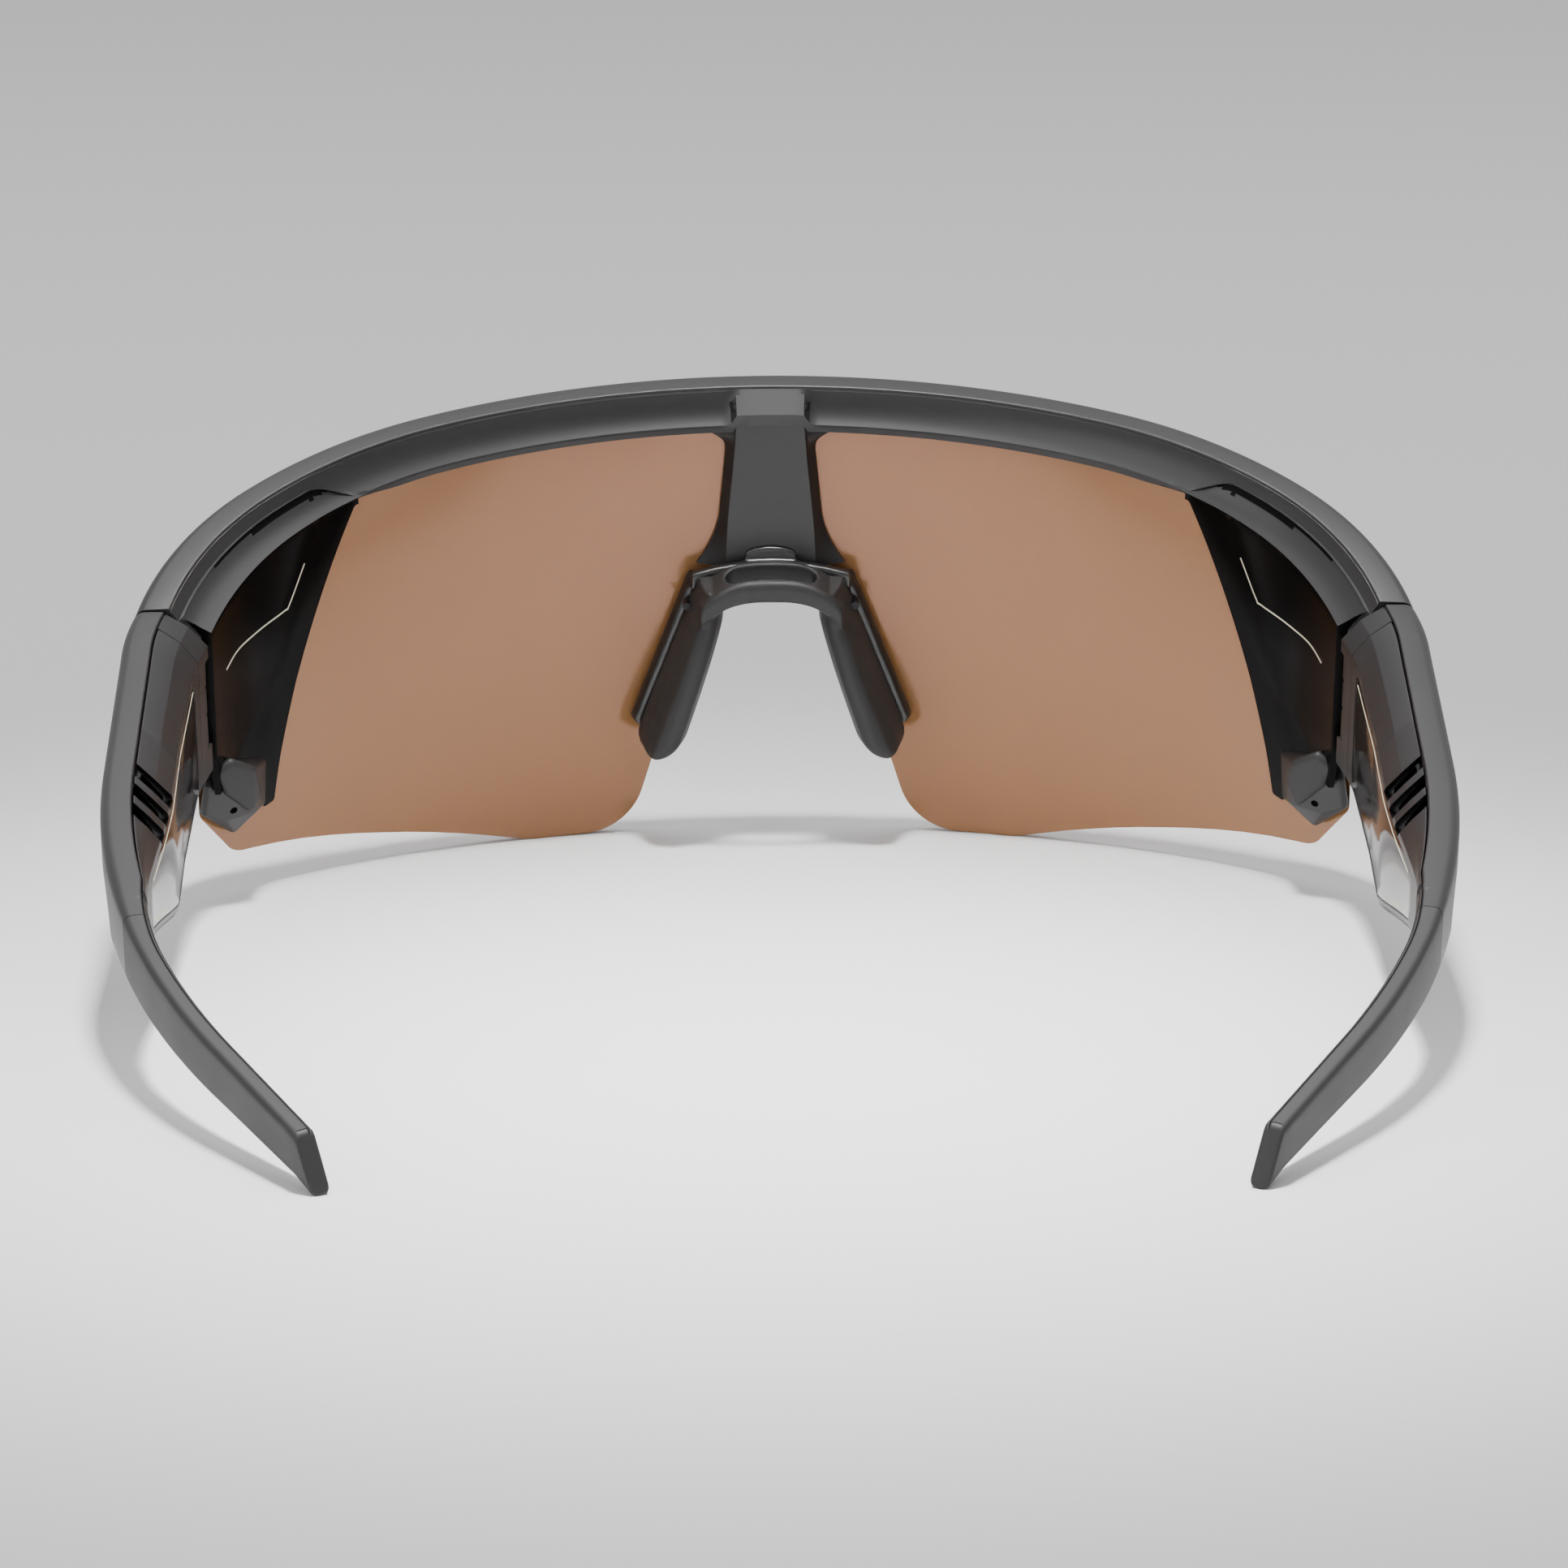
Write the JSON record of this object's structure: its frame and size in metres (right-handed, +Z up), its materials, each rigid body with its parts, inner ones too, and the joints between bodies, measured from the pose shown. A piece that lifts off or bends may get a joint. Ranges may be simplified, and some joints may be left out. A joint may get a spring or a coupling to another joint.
{
  "type": "wraparound shield glasses",
  "caption": "Wraparound shield glasses with a mirrored one-piece lens, soft nose pad and folding arms that hold speakers, batteries and controls.",
  "frame": {"origin": "centre of the footprint on the surface that the lens lobes and the arm tips rest on", "axes": "+X to the wearer's right, +Y forward through the lens, +Z up from the surface"},
  "size_m": [0.1512, 0.163, 0.0576],
  "materials": {
    "nylon": "moulded, light satin sheen",
    "rubber": "soft moulded",
    "gloss_black": "polished",
    "lens_coating": "mirror coated polycarbonate",
    "camera_glass": "polished",
    "barrel_black": "matt",
    "light_guide": "frosted",
    "circuit_green": "soldermask",
    "copper_flex": "polyimide film",
    "cell_foil": "satin foil",
    "fine_mesh": "woven, blackened",
    "speaker_black": "moulded",
    "steel": "stainless"
  },
  "bodies": {
    "front": {"brow_frame": "nylon", "brow_inner_cover": "nylon", "lens": "lens_coating", "bridge_cover": "nylon", "camera_housing": "gloss_black", "camera_barrel": "barrel_black", "camera_window": "camera_glass", "status_light_ring": "light_guide", "camera_board": "circuit_green", "nose_bracket": "gloss_black", "nose_pad": "rubber", "nose_pad_studs": "steel", "brow_flex_cable": "copper_flex", "side_panel_left": "gloss_black", "side_panel_right": "gloss_black", "corner_block_left": "nylon", "corner_block_right": "nylon", "corner_bumper_left": "rubber", "corner_bumper_right": "rubber", "corner_microphones": "steel", "front_hinge_leaf_left": "steel", "front_hinge_leaf_right": "steel", "front_leaf_screws": "steel"},
    "arm_left": {"arm_shell_left": "nylon", "arm_cover_left": "nylon", "gloss_panel_left": "gloss_black", "ear_sock_left": "rubber", "arm_core_left": "steel", "rear_hinge_leaf_left": "steel", "hinge_pin_left": "steel", "rear_leaf_screws_left": "steel", "speaker_left": "speaker_black", "speaker_mesh_left": "fine_mesh", "battery_left": "cell_foil", "circuit_board_left": "circuit_green"},
    "arm_right": {"arm_shell_right": "nylon", "arm_cover_right": "nylon", "gloss_panel_right": "gloss_black", "ear_sock_right": "rubber", "arm_core_right": "steel", "rear_hinge_leaf_right": "steel", "hinge_pin_right": "steel", "rear_leaf_screws_right": "steel", "speaker_right": "speaker_black", "speaker_mesh_right": "fine_mesh", "battery_right": "cell_foil", "circuit_board_right": "circuit_green", "touch_sensor_right": "copper_flex"},
    "capture_button": {"capture_button": "gloss_black"},
    "action_button": {"action_button": "gloss_black"},
    "power_slider": {"power_slider": "gloss_black"}
  },
  "joints": [
    {"name": "left_arm_fold", "type": "hinge", "parent": "front", "child": "arm_left", "pos_m": [-0.06794, 0.03474, 0.02669], "axis": [0, -0.2707, 0.9627], "range_deg": [0, 92]},
    {"name": "right_arm_fold", "type": "hinge", "parent": "front", "child": "arm_right", "pos_m": [0.06794, 0.03474, 0.02669], "axis": [0, 0.2707, -0.9627], "range_deg": [0, 76]},
    {"name": "capture_button_press", "type": "slide", "parent": "arm_right", "child": "capture_button", "axis": [0, -0.2707, 0.9627], "range_m": [0, 0.0004], "stiffness_N_per_m": 400},
    {"name": "action_button_press", "type": "slide", "parent": "arm_right", "child": "action_button", "axis": [0, -0.2707, 0.9627], "range_m": [0, 0.0004], "stiffness_N_per_m": 400},
    {"name": "power_slider_move", "type": "slide", "parent": "arm_left", "child": "power_slider", "axis": [0, -0.9627, -0.2707], "range_m": [0, 0.002]}
  ]
}
